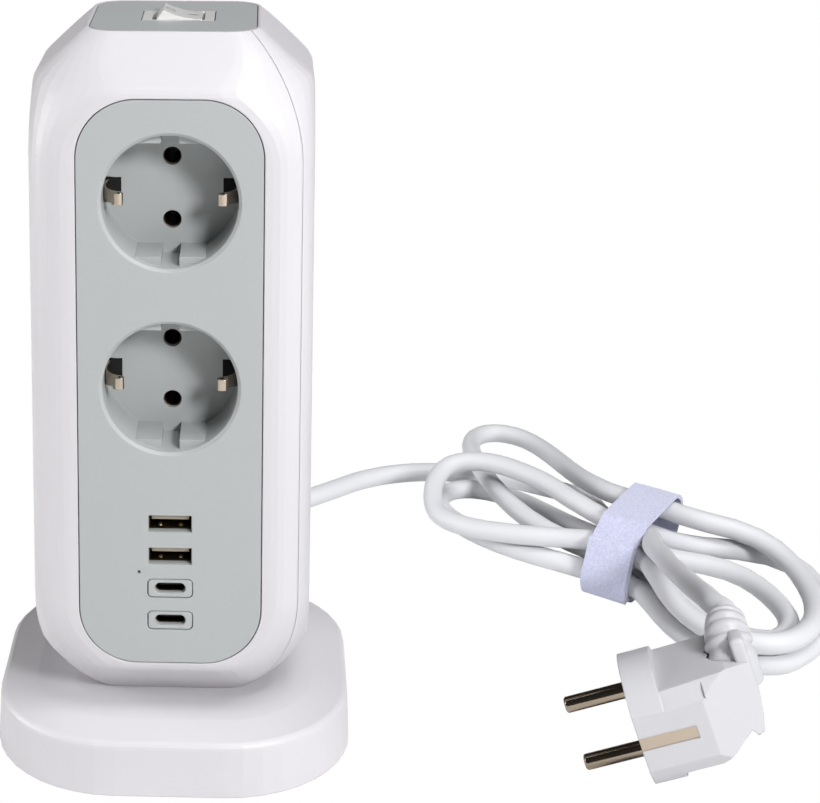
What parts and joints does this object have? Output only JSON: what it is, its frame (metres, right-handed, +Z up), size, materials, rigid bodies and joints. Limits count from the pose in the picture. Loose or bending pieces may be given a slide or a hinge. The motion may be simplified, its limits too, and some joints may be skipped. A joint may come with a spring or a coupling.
{
  "type": "surge protector power strip",
  "caption": "Desk power tower with round recessed sockets on all four sides, USB charging ports, a rocker switch on top, a weighted round base and a tied mains lead with an angled plug.",
  "frame": {"origin": "middle of the base where its feet meet the table", "axes": "+Z up the tower, -Y out of the front with two sockets and the USB ports, +X to the right seen from the front"},
  "size_m": [0.28, 0.2624, 0.2262],
  "materials": {
    "white_plastic": "satin",
    "grey_plastic": "satin",
    "gloss_white": "gloss",
    "dark_plastic": "matte",
    "brass": "satin",
    "spring_brass": "satin",
    "ivory_plastic": "matte",
    "steel": "satin",
    "rubber": "matte",
    "board_green": "satin",
    "blue_lacquer": "gloss",
    "clear_light": "gloss",
    "soft_white": "satin",
    "strap_felt": "matte",
    "nickel": "gloss"
  },
  "bodies": {
    "tower": {"front_left_casing": "white_plastic", "rear_right_casing": "white_plastic", "front_panel": "grey_plastic", "right_panel": "grey_plastic", "rear_panel": "grey_plastic", "left_panel": "grey_plastic", "top_panel": "grey_plastic", "switch_frame": "gloss_white", "switch_body": "dark_plastic", "switch_terminals": "brass", "base_shell": "white_plastic", "base_plate": "white_plastic", "rubber_feet": "rubber", "base_screws": "steel", "tower_screws": "steel", "line_busbar": "brass", "neutral_busbar": "brass", "earth_busbar": "brass", "earth_clips": "spring_brass", "contact_carrier": "ivory_plastic", "usb_a_shells": "steel", "usb_a_tongues": "dark_plastic", "usb_c_surrounds": "grey_plastic", "usb_c_shells": "steel", "usb_c_tongues": "dark_plastic", "usb_board": "board_green", "charge_light": "clear_light", "surge_board": "board_green", "varistors": "blue_lacquer", "usb_supply_board": "board_green", "supply_parts": "dark_plastic", "cord_relief": "soft_white", "cord_clamp": "ivory_plastic", "clamp_screws": "steel", "inner_leads": "soft_white", "cord_tube": "soft_white", "cord_hank": "soft_white", "plug_lead": "soft_white", "hank_strap": "strap_felt", "plug_body": "soft_white", "plug_relief": "soft_white", "plug_pins": "nickel", "plug_earth_strips": "nickel"},
    "rocker": {"switch_rocker": "gloss_white"}
  },
  "joints": [
    {"name": "switch_rock", "type": "hinge", "parent": "tower", "child": "rocker", "pos_m": [0.001, 0, 0.21945], "axis": [0, -1, 0], "range_deg": [0, 26]}
  ]
}
